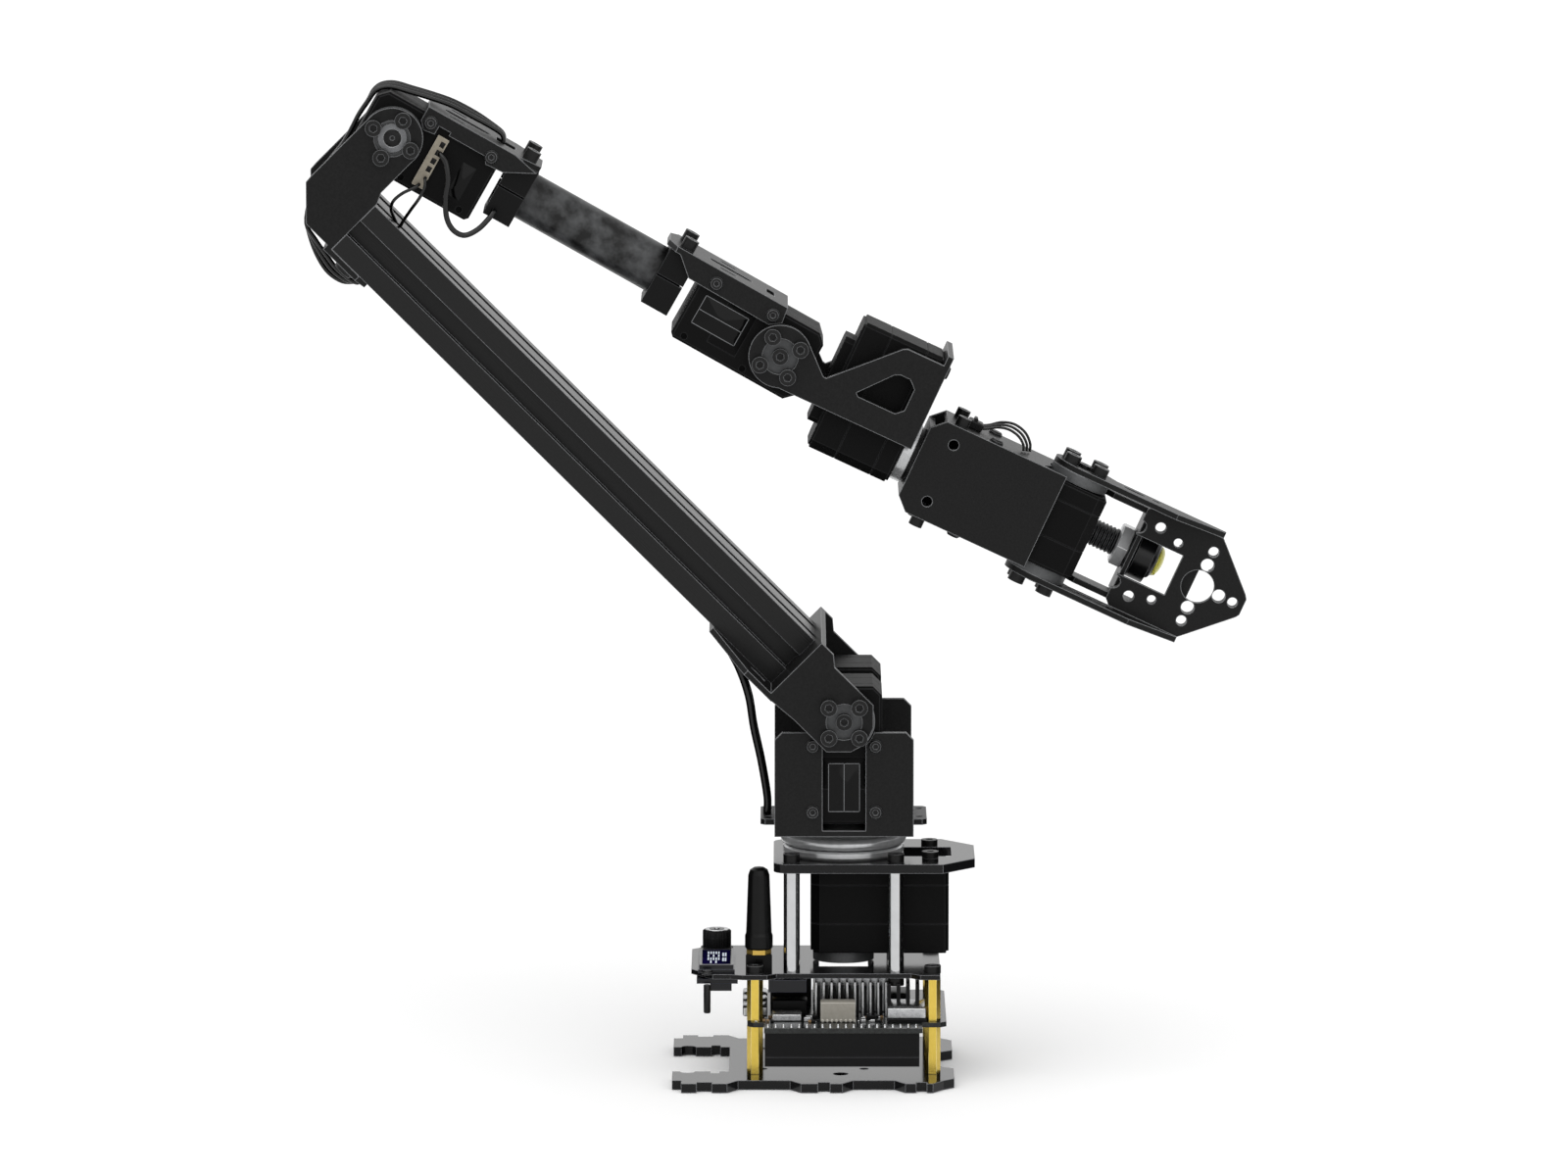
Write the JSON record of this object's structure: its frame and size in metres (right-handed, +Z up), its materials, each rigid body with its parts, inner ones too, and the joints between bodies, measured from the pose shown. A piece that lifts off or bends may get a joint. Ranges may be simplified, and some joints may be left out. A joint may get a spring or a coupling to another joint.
{
  "type": "desktop robot arm",
  "caption": "Desktop robot arm: plate base with driver board, turntable, leaning upper beam, tube forearm, pitching wrist and a rolling gripper with a hinged jaw.",
  "frame": {"origin": "on the floor under the turntable's axis, at the underside of the bottom plate", "axes": "+X towards the gripper, +Z up, +Y to the far side of the arm"},
  "size_m": [0.3073, 0.0866, 0.3261],
  "materials": {
    "bracket_black": "satin black coating",
    "case_black": "fine matte black plastic",
    "horn_silver": "bright anodised aluminium",
    "screw_steel": "steel screws",
    "cable_black": "glossy black cable sheath",
    "socket_beige": "ivory plastic connector",
    "board_black": "black circuit board",
    "board_metal": "tinned shells and heat fins",
    "header_black": "black moulded plastic",
    "spacer_brass": "turned brass",
    "post_chrome": "bright plated steel posts",
    "ring_silver": "turned bright aluminium",
    "display_blue": "dark blue display face",
    "whip_black": "black moulded whip",
    "beam_black": "black anodised extrusion",
    "clamp_black": "black moulded clamp",
    "tube_carbon": "mottled grey carbon tube",
    "lamp_black": "black anodised lamp body"
  },
  "bodies": {
    "base": {"bottom_plate": "bracket_black", "lower_spacers": "spacer_brass", "driver_board": "board_black", "stacking_header": "header_black", "board_parts": "board_metal", "upper_spacers": "spacer_brass", "shelf_plate": "bracket_black", "display_module": "display_blue", "power_socket": "header_black", "antenna_mount": "spacer_brass", "antenna_whip": "whip_black", "tower_posts": "post_chrome", "top_plate": "bracket_black", "base_screws": "screw_steel", "bearing_ring": "ring_silver", "base_motor_body": "case_black", "base_motor_covers": "case_black"},
    "turret": {"base_horns": "horn_silver", "turntable": "ring_silver", "turret_bracket": "bracket_black", "shoulder_motor_near_body": "case_black", "shoulder_motor_near_covers": "case_black", "shoulder_motor_far_body": "case_black", "shoulder_motor_far_covers": "case_black", "turret_screws": "screw_steel"},
    "upper_arm": {"shoulder_horns": "horn_silver", "shoulder_bracket": "bracket_black", "main_beam": "beam_black", "elbow_bracket": "bracket_black", "elbow_horns": "horn_silver", "upper_arm_screws": "screw_steel", "shoulder_cable": "cable_black"},
    "forearm": {"elbow_motor_body": "case_black", "elbow_motor_covers": "case_black", "motor_sockets": "socket_beige", "forearm_bracket": "bracket_black", "tube_clamps": "clamp_black", "forearm_tube": "tube_carbon", "wrist_bracket": "bracket_black", "wrist_motor_body": "case_black", "wrist_motor_covers": "case_black", "forearm_screws": "screw_steel", "elbow_cable": "cable_black", "elbow_leads": "cable_black", "forearm_lead": "cable_black"},
    "wrist": {"wrist_horns": "horn_silver", "wrist_link": "bracket_black", "roll_motor_body": "case_black", "roll_motor_covers": "case_black", "wrist_screws": "screw_steel"},
    "hand": {"roll_horns": "horn_silver", "hand_bracket": "bracket_black", "grip_motor_body": "case_black", "grip_motor_covers": "case_black", "hand_screws": "screw_steel", "lamp_head": "lamp_black", "lamp_stem": "lamp_black"},
    "jaw": {"grip_horns": "horn_silver", "moving_jaw": "bracket_black", "jaw_screws": "screw_steel"}
  },
  "joints": [
    {"name": "base_yaw", "type": "hinge", "parent": "base", "child": "turret", "pos_m": [0, 0, 0.06], "axis": [0, 0, 1], "range_deg": [-180, 180]},
    {"name": "shoulder", "type": "hinge", "parent": "turret", "child": "upper_arm", "pos_m": [0, 0, 0.1216], "axis": [0, 1, 0], "range_deg": [-30, 75], "deforming": ["shoulder_cable"]},
    {"name": "elbow", "type": "hinge", "parent": "upper_arm", "child": "forearm", "pos_m": [-0.14623, 0, 0.30941], "axis": [0, -1, 0], "range_deg": [-10, 150], "deforming": ["elbow_cable", "elbow_leads"]},
    {"name": "wrist_pitch", "type": "hinge", "parent": "forearm", "child": "wrist", "pos_m": [-0.02072, 0, 0.2384], "axis": [0, 1, 0], "range_deg": [-90, 30]},
    {"name": "wrist_roll", "type": "hinge", "parent": "wrist", "child": "hand", "pos_m": [0.02173, 0, 0.20393], "axis": [0.9063, 0, -0.4226], "range_deg": [-180, 180]},
    {"name": "jaw_open", "type": "hinge", "parent": "hand", "child": "jaw", "pos_m": [0.07009, 0, 0.18138], "axis": [0.4226, 0, 0.9063], "range_deg": [-90, 0]}
  ]
}
